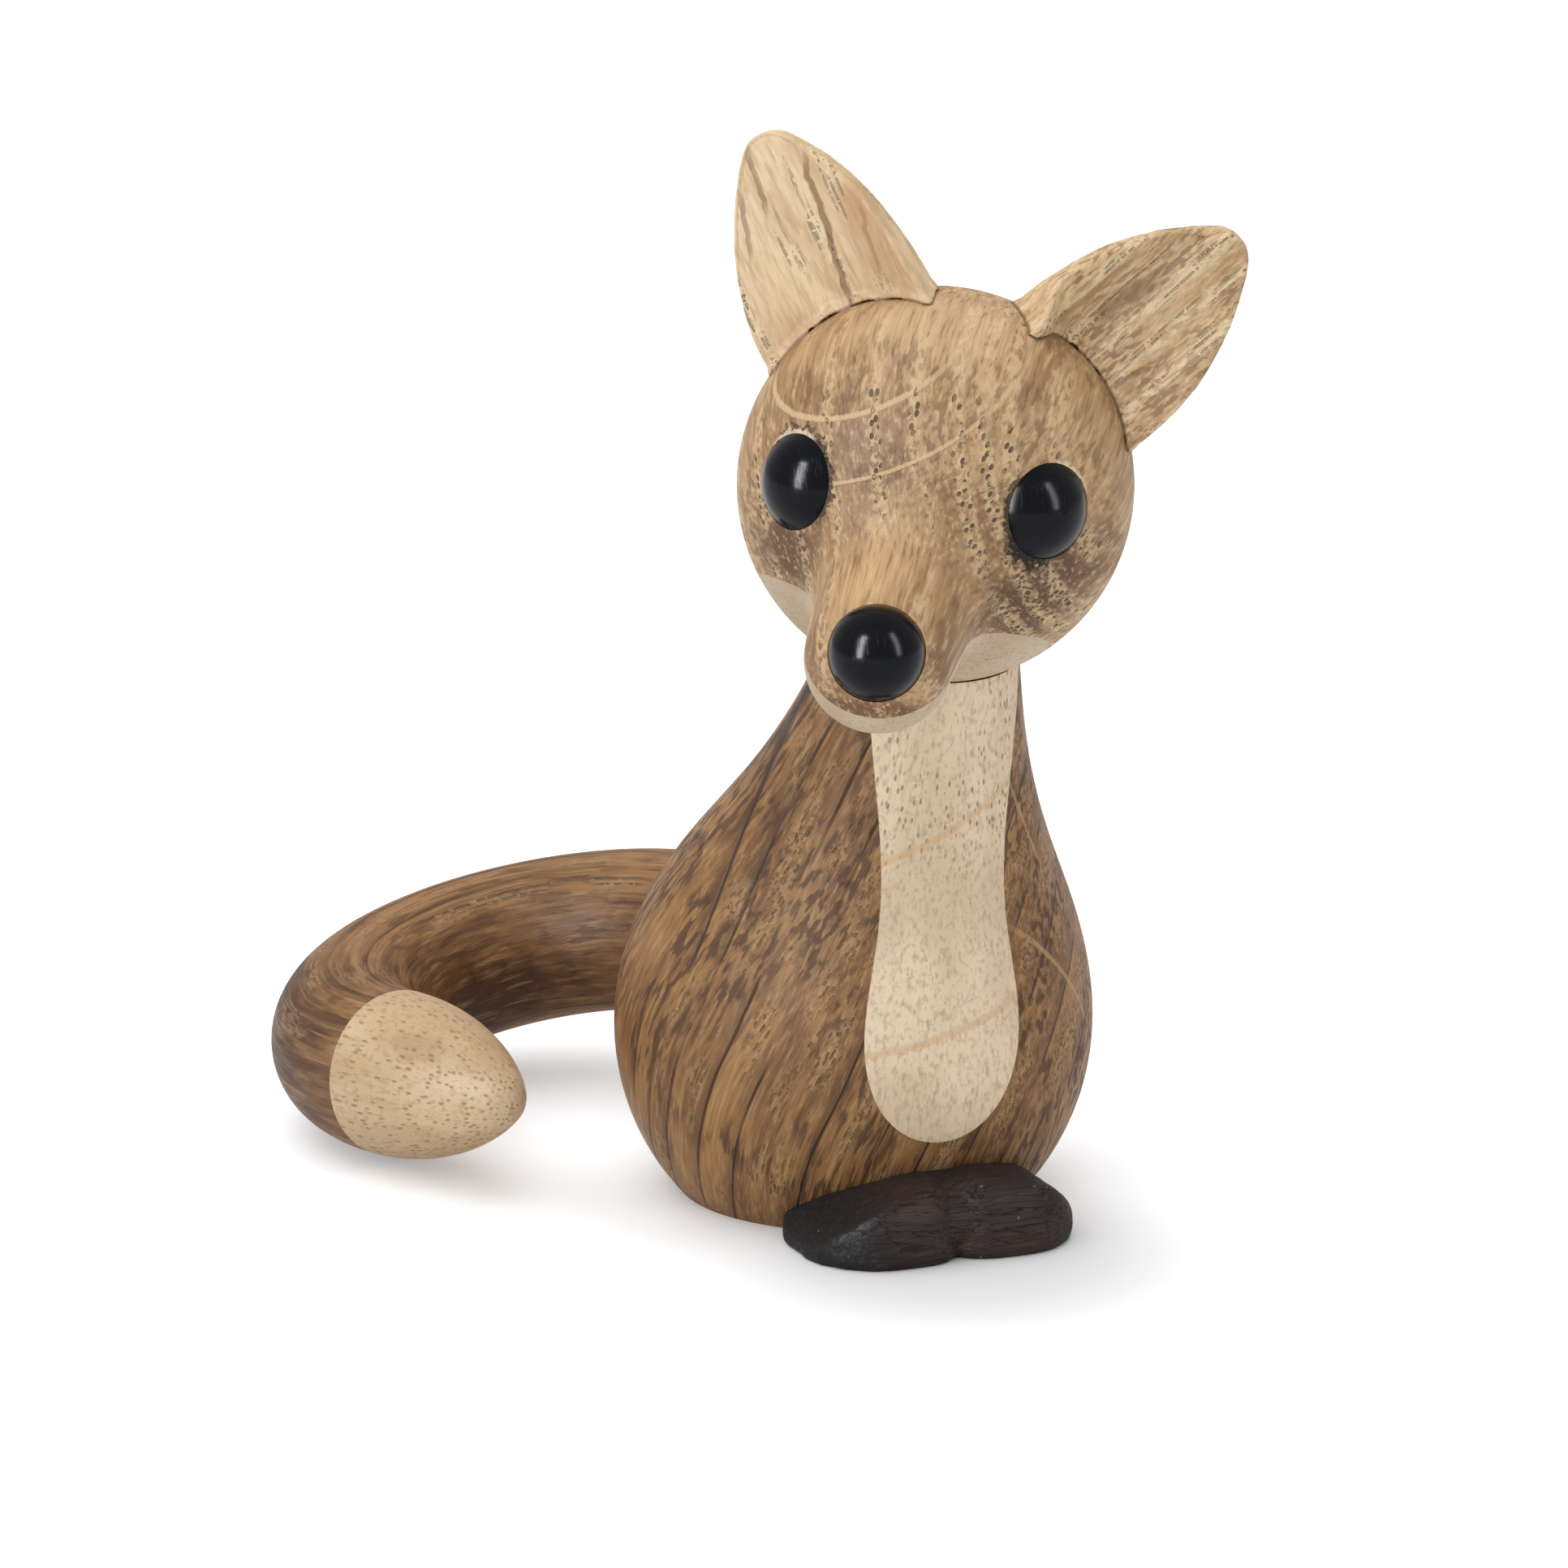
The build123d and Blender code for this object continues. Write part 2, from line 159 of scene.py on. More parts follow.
# How patterns spread: the move for each step of a seed, the scatter of cells and how edges fade
SEED_STEP = (7.31, 3.17, 5.93)
CELL_SCATTER = 0.9
BAND_CORE = 0.25
BAND_EDGE = 0.6
SPAN_FADE = 3

# Soft patches of any wood, some stains and some painted light or shade: their ragged edge, and how far
# out they fade
STAIN_AND_SHADING_EDGE_SIZE = (1.2, 1.2, 3)
STAIN_AND_SHADING_SEED = 20
STAIN_AND_SHADING_RAGGEDNESS = 1.2
STAIN_AND_SHADING_FADE = (0.3, 1.15)

# Oak: sizes of its patterns in millimetres, and the values between which each feature fades in or out
OAK_SIZES = {
    "bend": (12, 12, 30), "row_gap": (3, 4, 7), "blotch_field": (4, 6, 9), "line_fade": (4, 6, 16),
    "lump": (0.4, 0.4, 1),
}
OAK_RANGES = {
    "pale": (0.34, 0.64), "dark_streak": (0.5, 0.7), "pale_streak": (0.32, 0.48),
    "blotch_field": (0.36, 0.54), "blotch": (0.47, 0.59), "line_fade": (0.38, 0.56),
    "lump": (0.42, 0.58), "open_pore": (0.42, 0.5), "pore_rim": (0.32, 0.56), "pore": (0.14, 0.3),
}
PORE_GROUP_SIZE = (0.9, 0.9)
ROW_GAP_FADE = 0.14
RIM_STRENGTH = 0.4

# Ring lines of oak with the shade beside each, and pale rays across them
LINE_EDGE = (0.02, 0.13)
SHADE_START = 0.15
SHADE_END = 1.2
SHADE_STRENGTH = 0.5
RAY_FADE = 6
RAY_FRONT = (-2, 2)
RAY_STRENGTH = 0.75

# Marks on oak: chips at the eyes and crooked lines
EYE_CHIP_SIZE = (0.5, 0.5, 0.5)
EYE_FRONT = (8, 9)
LINE_WANDER_SIZE = (2.5, 1, 1)
LINE_WANDER = 1.2

# Maple: sizes and ranges as for oak, its faint lines and its dashes
MAPLE_SIZES = {
    "tone": (5, 6, 14), "streak": (0.3, 0.35, 3), "mottle": (0.5, 0.5, 0.7), "dash_field": (4, 4, 8),
}
MAPLE_RANGES = {"pale": (0.34, 0.66), "streak": (0.5, 0.72), "mottle": (0.5, 0.68), "dash": (0.14, 0.32)}
FAINT_STRENGTH = 0.45
DASH_GAP_FADE = 0.2
DASH_FADE = 8

# Stained oak and black lacquer: sizes and ranges as for oak, and the paws' black end along the fibre
STAINED_SIZES = {
    "tone": (3, 4, 8), "streak": (0.25, 0.3, 3.5), "scratch": (0.5, 0.5, 6), "speck": (0.9, 0.9, 1.1),
    "worn": (2, 2, 3),
}
STAINED_RANGES = {
    "brown": (0.35, 0.65), "streak": (0.52, 0.7), "scratch": (0.004, 0.02), "speck": (0.07, 0.14),
    "worn": (0.56, 0.64),
}
PAW_BLACK_END = (-9, -4)
LACQUER_SIZES = {"cloud": (2, 2, 2), "scratch": (0.5, 4, 3), "dust": (0.45, 0.45, 0.45)}
LACQUER_RANGES = {"scratch": (0.002, 0.012), "dust": (0.05, 0.12), "dusty": (0.5, 0.62)}


def srgb(red, green, blue):
    """A colour as seen on screen, from 0 to 255, as the linear colour that a shader takes."""
    def linear(level):
        share = level / 255
        return share / 12.92 if share <= 0.04045 else ((share + 0.055) / 1.055) ** 2.4
    return (linear(red), linear(green), linear(blue), 1)


def direction(azimuth, elevation):
    """The direction to a place seen from the fox: azimuth 0 is in front, positive to its left."""
    turn = math.radians(azimuth)
    lift = math.radians(elevation)
    return Vector((math.sin(turn) * math.cos(lift), -math.cos(turn) * math.cos(lift), math.sin(lift)))


TO_CAMERA = direction(CAMERA_AZIMUTH, CAMERA_ELEVATION)
PHOTO_RIGHT = Vector((0, 0, 1)).cross(TO_CAMERA).normalized()
PHOTO_UP = TO_CAMERA.cross(PHOTO_RIGHT)


class Value:
    """A node's socket, with operators that add Math nodes."""

    def __init__(self, nodes, socket):
        self.nodes = nodes
        self.socket = socket

    def also(self, output):
        """Another output of the same node."""
        return Value(self.nodes, self.socket.node.outputs[output])

    def __add__(self, other):
        return self.nodes.maths("ADD", self, other)

    def __sub__(self, other):
        return self.nodes.maths("SUBTRACT", self, other)

    def __rsub__(self, other):
        return self.nodes.maths("SUBTRACT", other, self)

    def __mul__(self, other):
        return self.nodes.maths("MULTIPLY", self, other)

    def __truediv__(self, other):
        return self.nodes.maths("DIVIDE", self, other)

    def __rtruediv__(self, other):
        return self.nodes.maths("DIVIDE", other, self)

    def __abs__(self):
        return self.nodes.maths("ABSOLUTE", self)

    __radd__ = __add__
    __rmul__ = __mul__


class Nodes:
    """A node tree, and the helpers that fill it."""

    def __init__(self, tree):
        self.tree = tree

    def node(self, kind, settings=None, sockets=None, output=0):
        """A new node: its settings first, then its sockets' values or links."""
        made = self.tree.nodes.new(kind)
        for name, setting in (settings or {}).items():
            setattr(made, name, setting)
        for key, value in (sockets or {}).items():
            if isinstance(value, Value):
                self.tree.links.new(value.socket, made.inputs[key])
            else:
                made.inputs[key].default_value = value
        return Value(self, made.outputs[output]) if made.outputs else None

    def maths(self, operation, *terms):
        return self.node("ShaderNodeMath", {"operation": operation}, dict(enumerate(terms)))

    def vector(self, operation, *terms, output=0):
        return self.node("ShaderNodeVectorMath", {"operation": operation}, dict(enumerate(terms)), output)

    def scaled(self, vector, scale):
        sockets = {"Vector": vector, "Scale": scale}
        return self.node("ShaderNodeVectorMath", {"operation": "SCALE"}, sockets)

    def rise(self, value, low, high):
        """0 below low and 1 above high, with a smooth step between."""
        settings = {"interpolation_type": "SMOOTHSTEP"}
        sockets = {"Value": value, "From Min": low, "From Max": high}
        return self.node("ShaderNodeMapRange", settings, sockets)

    def fall(self, value, low, high):
        """1 below low and 0 above high."""
        return 1 - self.rise(value, low, high)

    def band(self, value, middle, width):
        """1 within a band of the given width, soft at both edges."""
        return self.fall(abs(value - middle), width * BAND_CORE, width * BAND_EDGE)

    def span(self, value, ends):
        """1 between two places in millimetres, with a soft fade beyond each."""
        start, end = ends
        return self.rise(value, start - SPAN_FADE, start) * self.fall(value, end, end + SPAN_FADE)

    def joined(self, sides):
        return self.node("ShaderNodeCombineXYZ", {}, dict(enumerate(sides)))

    def measured(self, centre, axes):
        """Millimetres from a centre along each of the axes."""
        offset = self.vector("SUBTRACT", self.point(), centre)
        return [self.vector("DOT_PRODUCT", offset, axis / MM, output=1) for axis in axes]

    def reach_from(self, centre):
        """Millimetres from a centre in any direction."""
        return self.vector("DISTANCE", self.point(), centre, output=1) / MM

    def grain(self, centre, rings, fibre):
        """Millimetres across the growth rings, along them and along the fibre."""
        across = (rings - fibre * rings.dot(fibre)).normalized()
        return self.measured(centre, [across, fibre.cross(across), fibre])

    def spread(self, place, size, seed):
        """A place in units of the size given along each side, moved by the seed."""
        scale = [1 / length for length in size]
        return self.vector("MULTIPLY_ADD", place, scale, [seed * step for step in SEED_STEP])

    def noise(self, place, size, seed, detail=2, roughness=0.5):
        """Cloudy noise from 0 to 1, in clouds of the size given."""
        spread = self.spread(place, size, seed)
        sockets = {"Vector": spread, "Scale": 1, "Detail": detail, "Roughness": roughness}
        return self.node("ShaderNodeTexNoise", {}, sockets)

    def cells(self, place, size, seed, dimensions="3D"):
        """Distance from the middle of the nearest of many scattered cells."""
        sockets = {"Vector": self.spread(place, size, seed), "Scale": 1, "Randomness": CELL_SCATTER}
        return self.node("ShaderNodeTexVoronoi", {"voronoi_dimensions": dimensions}, sockets, "Distance")


class Finish(Nodes):
    """The nodes of a material."""

    def __init__(self, name):
        self.material = bpy.data.materials.new(name)
        self.material.use_nodes = True
        super().__init__(self.material.node_tree)
        self.tree.nodes.clear()

    def point(self):
        return self.node("ShaderNodeTexCoord", output="Object")

    def mix(self, share, under, over):
        """The colour under, covered by the colour over where the share is 1."""
        return self.node("ShaderNodeMix", {"data_type": "RGBA"}, {0: share, 6: under, 7: over}, 2)

    def surface(self, colour, roughness, height, depth, **constants):
        """The finished shader, with relief of the given depth in millimetres."""
        relief = self.node("ShaderNodeBump", {}, {"Height": height, "Distance": depth * MM})
        sockets = {"Base Color": colour, "Roughness": roughness, "Normal": relief}
        sockets.update({name.replace("_", " "): value for name, value in constants.items()})
        shader = self.node("ShaderNodeBsdfPrincipled", {}, sockets)
        self.node("ShaderNodeOutputMaterial", {}, {"Surface": shader})
        return self.material


class Carving(Nodes):
    """A Geometry Nodes tree with named inputs."""

    def __init__(self, name, inputs):
        super().__init__(bpy.data.node_groups.new(name, "GeometryNodeTree"))
        self.tree.interface.new_socket("Geometry", in_out="OUTPUT", socket_type="NodeSocketGeometry")
        self.sockets = {}
        for input_name, kind in inputs.items():
            made = self.tree.interface.new_socket(input_name, in_out="INPUT", socket_type=kind)
            self.sockets[input_name] = made.identifier
        self.start = self.node("NodeGroupInput")

    def input(self, name):
        return self.start.also(name)

    def point(self):
        return self.node("GeometryNodeInputPosition")

    def lumpy(self, place, size):
        """Noise in lumps of the size that the named input gives."""
        spread = self.vector("DIVIDE", place, self.input(size))
        return self.node("ShaderNodeTexNoise", {}, {"Vector": spread, "Scale": 1, "Detail": 2})

    def finish(self, geometry, material):
        """Ends the tree with a plain mesh in its material."""
        real = self.node("GeometryNodeRealizeInstances", {}, {"Geometry": geometry})
        dressed = self.node("GeometryNodeSetMaterial", {}, {"Geometry": real, "Material": material})
        self.node("NodeGroupOutput", {}, {"Geometry": dressed})

    def use_on(self, piece, values):
        """Adds the tree to a piece as a modifier with the values of its inputs."""
        modifier = piece.modifiers.new(self.tree.name, "NODES")
        modifier.node_group = self.tree
        for name, value in values.items():
            modifier[self.sockets[name]] = value


def stained_and_shaded(wood, place, colour, stains_and_shading):
    """Soft uneven patches, some stains and some painted light or shade: each has a middle, a size along
    each side, a tone and a strength.
    """
    for number, (middle, size, tone, strength) in enumerate(stains_and_shading):
        ragged = wood.noise(place, STAIN_AND_SHADING_EDGE_SIZE, seed=STAIN_AND_SHADING_SEED + number, detail=3) - 0.5
        centre = [at / length for at, length in zip(middle, size)]
        away = wood.vector("DISTANCE", wood.spread(place, size, 0), centre, output=1)
        share = wood.fall(away + ragged * STAIN_AND_SHADING_RAGGEDNESS, *STAIN_AND_SHADING_FADE) * strength
        colour = wood.mix(share, colour, tone)
    return colour


def ring_lines(wood, ring, places):
    """Dark lines at the growth rings' ends, and the soft shade on one side of each."""
    line = 0
    shade = 0
    for at in places:
        away = ring - at
        line = wood.fall(abs(away), *LINE_EDGE) + line
        shade = wood.rise(away, -SHADE_START, 0) * wood.fall(away, 0, SHADE_END) + shade
    return line, shade


def pit_rows(wood, ring, places, width):
    """The bands of open pores beside the growth rings."""
    row = 0
    for at in places:
        row = wood.band(ring, at, width) + row
    return row


def oak(name, sides_of, tones, look, stains_and_shading=(), rays=(), marks=()):
    """Open-pored oak: ring lines, rows of pits, dark blotches and fine streaks along the fibre."""
    wood = Finish(name)
    across, along_ring, along = sides_of(wood)
    straight = wood.joined((across, along_ring, along))
    lean = look["lean"]
    ring = (across + along_ring * lean) / math.hypot(1, lean)
    sideways = (along_ring - across * lean) / math.hypot(1, lean)
    below = wood.maths("MAXIMUM", look["bow_start"] - along, 0)
    bent = (wood.noise(straight, OAK_SIZES["bend"], seed=1) - 0.5) * look["bend"]
    ring = ring + below * below * look["bow"] + bent
    place = wood.joined((ring, sideways, along))

    tone = wood.rise(wood.noise(place, look["tone_size"], seed=2, detail=3), *OAK_RANGES["pale"])
    colour = wood.mix(tone, tones["mid"], tones["pale"])
    # Patches of stain, some of them painted light or painted shade
    colour = stained_and_shaded(wood, straight, colour, stains_and_shading)
    streak = wood.noise(place, look["streak_size"], seed=3, detail=3, roughness=0.6)
    dark_streak = wood.rise(streak, *OAK_RANGES["dark_streak"])
    colour = wood.mix(dark_streak * look["streaks"], colour, tones["dark"])
    pale_streak = wood.fall(streak, *OAK_RANGES["pale_streak"])
    colour = wood.mix(pale_streak * look["streaks"], colour, tones["fleck"])

    row = pit_rows(wood, ring, look["rows"], look["row_width"])
    unbroken = wood.noise(place, OAK_SIZES["row_gap"], seed=7)
    row = row * wood.rise(unbroken, look["row_gaps"], look["row_gaps"] + ROW_GAP_FADE)
    field = wood.rise(wood.noise(place, OAK_SIZES["blotch_field"], seed=5), *OAK_RANGES["blotch_field"])
    blotch = wood.rise(wood.noise(place, look["blotch_size"], seed=6), *OAK_RANGES["blotch"])
    blotch = blotch * field * (1 - row * 0.7)
    blotch = blotch * wood.span(along, look["blotch_span"])
    colour = wood.mix(blotch * look["blotches"], colour, tones["dark"])

    fade = wood.rise(wood.noise(place, OAK_SIZES["line_fade"], seed=4), *OAK_RANGES["line_fade"])
    line, shade = ring_lines(wood, ring, look["lines"])
    line = line * fade
    colour = wood.mix(shade * fade * SHADE_STRENGTH, colour, tones["dark"])
    colour = wood.mix(line * look["line_strength"], colour, tones["line"])

    lump = wood.rise(wood.noise(place, OAK_SIZES["lump"], seed=8), *OAK_RANGES["lump"]) * row
    pore = wood.cells(place, look["pit_size"], seed=9, dimensions="2D")
    opened = wood.noise(place, (*PORE_GROUP_SIZE, look["pit_length"]), seed=10)
    opened = wood.rise(opened, *OAK_RANGES["open_pore"]) * row
    opened = opened * wood.span(along, look["pit_span"])
    rim = wood.fall(pore, *OAK_RANGES["pore_rim"]) * opened
    pit = wood.fall(pore, *OAK_RANGES["pore"]) * opened
    colour = wood.mix(lump * look["pale_rows"], colour, tones["fleck"])
    colour = wood.mix(rim * RIM_STRENGTH, colour, tones["fleck"])
    colour = wood.mix(pit * look["pits"], colour, tones["line"])

    height = streak * 0.35 + lump * 0.2 + rim * 0.2 - pit * 1.3 - line * 0.5 - blotch * 0.12
    for slope, at, width, start, end in rays:
        ray = wood.band(along_ring - across * slope + streak * 0.2, at + 0.1, width)
        ray = ray * wood.rise(across, start - 1, start) * wood.fall(across, end - RAY_FADE, end)
        ray = ray * wood.rise(along, *RAY_FRONT)
        colour = wood.mix(ray * RAY_STRENGTH, colour, tones["fleck"])
        height = height + ray * 0.3
    for mark, tone_name, strength, rise in marks:
        share = mark(wood) * strength
        colour = wood.mix(share, colour, tones[tone_name])
        height = height + share * rise
    roughness = 0.55 + pit * 0.2 + blotch * 0.08 - tone * 0.05
    return wood.surface(colour, roughness, height, depth=0.2, Specular_IOR_Level=0.2)


def chipped_rim(axis, toward, width, closeness):
    """A mark: ragged chips of an eye socket's rim near one side, nearer for a closeness towards 1."""
    side = (toward - axis * toward.dot(axis)).normalized()

    def mark(wood):
        out, round_it, front = wood.measured(HEAD_CENTRE, [side, axis.cross(side), axis])
        reach = wood.maths("SQRT", out * out + round_it * round_it)
        ragged = wood.noise(wood.joined((out, round_it, front)), EYE_CHIP_SIZE, seed=15) - 0.5
        near = wood.fall(reach + ragged * width * 2, EYE_RADIUS + width * 0.4, EYE_RADIUS + width * 0.7)
        near = near * wood.rise(front, *EYE_FRONT)
        return near * wood.rise(out / reach + ragged * 0.6, closeness - 0.1, closeness + 0.08)
    return mark


def drawn_line(start, end, width):
    """A mark: a crooked line on the front of a piece between two points in millimetres."""
    start = Vector(start)
    along = Vector(end) - start
    length = along.length
    along = along.normalized()
    side = along.cross(TO_CAMERA).normalized()

    def mark(wood):
        off, on = wood.measured(start * MM, [side, along])
        wander = wood.noise(wood.joined((on, 0, 0)), LINE_WANDER_SIZE, seed=length, detail=3) - 0.5
        ends = wood.rise(on, -1, 1) * wood.fall(on, length - 1.5, length + 1)
        return wood.fall(abs(off + wander * LINE_WANDER), width * 0.25, width) * ends
    return mark


def ear_foot_shade(wood):
    """A mark: painted shade of the thin gap where an ear meets the ball, on the ear's foot."""
    return wood.fall(wood.reach_from(HEAD_CENTRE), *FOOT_SHADE)


def maple(name, sides_of, tones, look, faint_lines=(), stains_and_shading=()):
    """Fine pale maple with short brown dashes, mottling, and a few faint lines or patches."""
    wood = Finish(name)
    across, along_ring, along = sides_of(wood)
    place = wood.joined((across, along_ring, along))
    tone = wood.rise(wood.noise(place, MAPLE_SIZES["tone"], seed=2, detail=3), *MAPLE_RANGES["pale"])
    colour = wood.mix(tone, tones["mid"], tones["pale"])
    colour = stained_and_shaded(wood, wood.scaled(wood.point(), 1 / MM), colour, stains_and_shading)
    streak = wood.noise(place, MAPLE_SIZES["streak"], seed=3, detail=3, roughness=0.6)
    colour = wood.mix(wood.rise(streak, *MAPLE_RANGES["streak"]) * look["streaks"], colour, tones["dash"])
    mottle = wood.noise(place, MAPLE_SIZES["mottle"], seed=6, detail=3, roughness=0.6)
    colour = wood.mix(wood.rise(mottle, *MAPLE_RANGES["mottle"]) * look["mottle"], colour, tones["dash"])
    for slope, at, width in faint_lines:
        faint = wood.band(along + across * slope + (mottle - 0.5) * 1.2, at, width)
        colour = wood.mix(faint * FAINT_STRENGTH, colour, tones["line"])
    few = wood.noise(place, MAPLE_SIZES["dash_field"], seed=5)
    few = wood.rise(few, look["dash_gaps"], look["dash_gaps"] + DASH_GAP_FADE)
    few = few * (0.2 + 0.8 * wood.rise(along, look["dashes_from"] - DASH_FADE, look["dashes_from"]))
    dash = wood.fall(wood.cells(place, look["dash_size"], seed=4), *MAPLE_RANGES["dash"]) * few
    colour = wood.mix(dash * look["dashes"], colour, tones["dash"])
    height = streak * 0.3 + mottle * 0.2 - dash * 0.6
    roughness = 0.52 + dash * 0.12 + (streak - 0.5) * 0.2
    return wood.surface(colour, roughness, height, depth=0.12, Specular_IOR_Level=0.2)


def stained_oak(name, sides_of, tones):
    """Nearly black oak under a dark stain, with fine scratches along it, a blacker end and a few worn
    specks.
    """
    wood = Finish(name)
    across, along_ring, along = sides_of(wood)
    place = wood.joined((across, along_ring, along))
    tone = wood.rise(wood.noise(place, STAINED_SIZES["tone"], seed=1, detail=3), *STAINED_RANGES["brown"])
    colour = wood.mix(tone, tones["dark"], tones["mid"])
    end = wood.fall(along, *PAW_BLACK_END)
    colour = wood.mix(end, colour, tones["end"])
    streak = wood.noise(place, STAINED_SIZES["streak"], seed=2, detail=3, roughness=0.6)
    colour = wood.mix(wood.rise(streak, *STAINED_RANGES["streak"]) * 0.55, colour, tones["pale"])
    scratch = abs(wood.noise(place, STAINED_SIZES["scratch"], seed=3) - 0.5)
    scratch = wood.fall(scratch, *STAINED_RANGES["scratch"])
    colour = wood.mix(scratch * 0.6, colour, tones["line"])
    speck = wood.fall(wood.cells(place, STAINED_SIZES["speck"], seed=4), *STAINED_RANGES["speck"])
    worn = wood.noise(place, STAINED_SIZES["worn"], seed=5)
    speck = speck * wood.rise(worn, *STAINED_RANGES["worn"])
    colour = wood.mix(speck * 0.8, colour, tones["speck"])
    height = (streak * 0.6 - scratch) * (1 - end * 0.75)
    roughness = 0.6 + scratch * 0.2 - tone * 0.1
    return wood.surface(colour, roughness, height, depth=0.2, Specular_IOR_Level=0.16)


def black_lacquer(name):
    """Glossy black lacquer with a little dust and fine scratches."""
    coat = Finish(name)
    place = coat.scaled(coat.point(), 1 / MM)
    cloud = coat.noise(place, LACQUER_SIZES["cloud"], seed=1)
    colour = coat.mix(cloud, LACQUER_TONES["dark"], LACQUER_TONES["pale"])
    scratch = abs(coat.noise(place, LACQUER_SIZES["scratch"], seed=2) - 0.5)
    scratch = coat.fall(scratch, *LACQUER_RANGES["scratch"])
    dust = coat.fall(coat.cells(place, LACQUER_SIZES["dust"], seed=3), *LACQUER_RANGES["dust"])
    dust = dust * coat.rise(cloud, *LACQUER_RANGES["dusty"])
    colour = coat.mix(dust * 0.2, colour, LACQUER_TONES["dust"])
    roughness = 0.17 + scratch * 0.12 + dust * 0.2
    height = cloud * 0.3 + dust * 0.2 - scratch * 0.1
    return coat.surface(colour, roughness, height, depth=0.02, Specular_IOR_Level=0.13)


def head_grain(wood):
    return wood.grain(HEAD_CENTRE, HEAD_LEFT, MUZZLE_AXIS)


def body_grain(wood):
    return wood.grain(BELLY_CENTRE, BODY_RINGS, BODY_FIBRE)


def bib_grain(wood):
    return wood.grain(BELLY_CENTRE, BODY_RINGS, BODY_AXIS)


def ear_fibre(axis):
    """An ear's long axis, given in the head's own directions, in the frame's."""
    return (HEAD_LEFT * axis[0] + HEAD_BACK * axis[1] + NECK_AXIS * axis[2]).normalized()


def ear_grain(fibre):
    return lambda wood: wood.grain(HEAD_CENTRE, HEAD_LEFT, fibre)


def tail_directions():
    """The directions to the side of the tail's hook, back and up."""
    side = Vector((math.cos(TAIL_ROLL), 0, math.sin(TAIL_ROLL)))
    rise = Vector((-math.sin(TAIL_ROLL), 0, math.cos(TAIL_ROLL)))
    return side, TAIL_AXIS, rise


def tail_grain(wood):
    """The grain of the bent rod: out from the bend's centre, across the hook and along the rod."""
    side, back, rise = tail_directions()
    centre = TAIL_SEAT + (back * TAIL_STRAIGHT - side * TAIL_BEND_RADIUS) * MM
    start = side * math.cos(TAIL_CUT_ANGLE) + back * math.sin(TAIL_CUT_ANGLE)
    turned = back * math.cos(TAIL_CUT_ANGLE) - side * math.sin(TAIL_CUT_ANGLE)
    forward, sideways, up = wood.measured(centre, [start, turned, rise])
    reach = wood.maths("SQRT", forward * forward + sideways * sideways)
    angle = wood.maths("ARCTAN2", sideways, forward) + TAIL_CUT_ANGLE
    return [reach - TAIL_BEND_RADIUS, up, angle * TAIL_BEND_RADIUS]


def tail_tip_grain(wood):
    """The grain of the tip, straight on from the end of the bent rod."""
    side, back, rise = tail_directions()
    fibre = back * math.cos(TAIL_BEND_ANGLE) - side * math.sin(TAIL_BEND_ANGLE)
    return wood.grain(TAIL_SEAT, rise, fibre)


def paw_grain(wood):
    return wood.grain(PAW_CENTRE, PAW_RINGS, PAW_FIBRE)


def dowel_grain(axis):
    return lambda wood: wood.grain(HEAD_CENTRE, Vector((1, 0, 0)), axis)


BODY_TONES = {
    "pale": srgb(153, 112, 66), "mid": srgb(122, 84, 49), "dark": srgb(76, 49, 30),
    "line": srgb(56, 35, 24), "fleck": srgb(180, 143, 98),
}
HEAD_TONES = {
    "pale": srgb(186, 151, 109), "mid": srgb(158, 123, 87), "dark": srgb(110, 79, 54),
    "line": srgb(78, 53, 37), "fleck": srgb(212, 182, 140), "torn": srgb(30, 18, 13),
    "chip": srgb(238, 220, 188),
}
RIGHT_EAR_TONES = {
    "pale": srgb(228, 201, 163), "mid": srgb(208, 177, 137), "dark": srgb(176, 141, 101),
    "line": srgb(120, 86, 58), "fleck": srgb(238, 216, 181), "patch": srgb(196, 140, 98),
}
LEFT_EAR_TONES = {
    "pale": srgb(210, 180, 138), "mid": srgb(184, 150, 108), "dark": srgb(142, 108, 74),
    "line": srgb(92, 66, 46), "fleck": srgb(228, 203, 164),
}
TAIL_TONES = {
    "pale": srgb(143, 103, 63), "mid": srgb(110, 76, 45), "dark": srgb(75, 48, 28),
    "line": srgb(52, 35, 26), "fleck": srgb(164, 130, 93),
}
BIB_TONES = {
    "pale": srgb(232, 211, 181), "mid": srgb(215, 193, 163), "dash": srgb(166, 137, 104),
    "line": srgb(206, 164, 118),
}
# The jaw's maple in darker, greyer tones than the chest's: painted shade under the head
SHADED_JAW_TONES = {"pale": srgb(196, 176, 149), "mid": srgb(184, 162, 133), "dash": srgb(160, 134, 105)}
TIP_TONES = {"pale": srgb(208, 182, 147), "mid": srgb(190, 162, 126), "dash": srgb(146, 112, 79)}
STAINED_TONES = {
    "mid": srgb(58, 42, 38), "dark": srgb(42, 32, 31), "pale": srgb(72, 57, 50), "end": srgb(25, 25, 27),
    "line": srgb(20, 17, 18), "speck": srgb(170, 142, 112),
}
BEECH_TONES = {"pale": srgb(222, 189, 148), "mid": srgb(206, 170, 128), "dash": srgb(160, 118, 80)}
LACQUER_TONES = {"dark": srgb(6, 7, 11), "pale": srgb(14, 16, 23), "dust": srgb(120, 118, 116)}

# Spans run along the fibre in millimetres, and one that reaches FAR has no end
FAR = 99
EVERYWHERE = (-FAR, FAR)

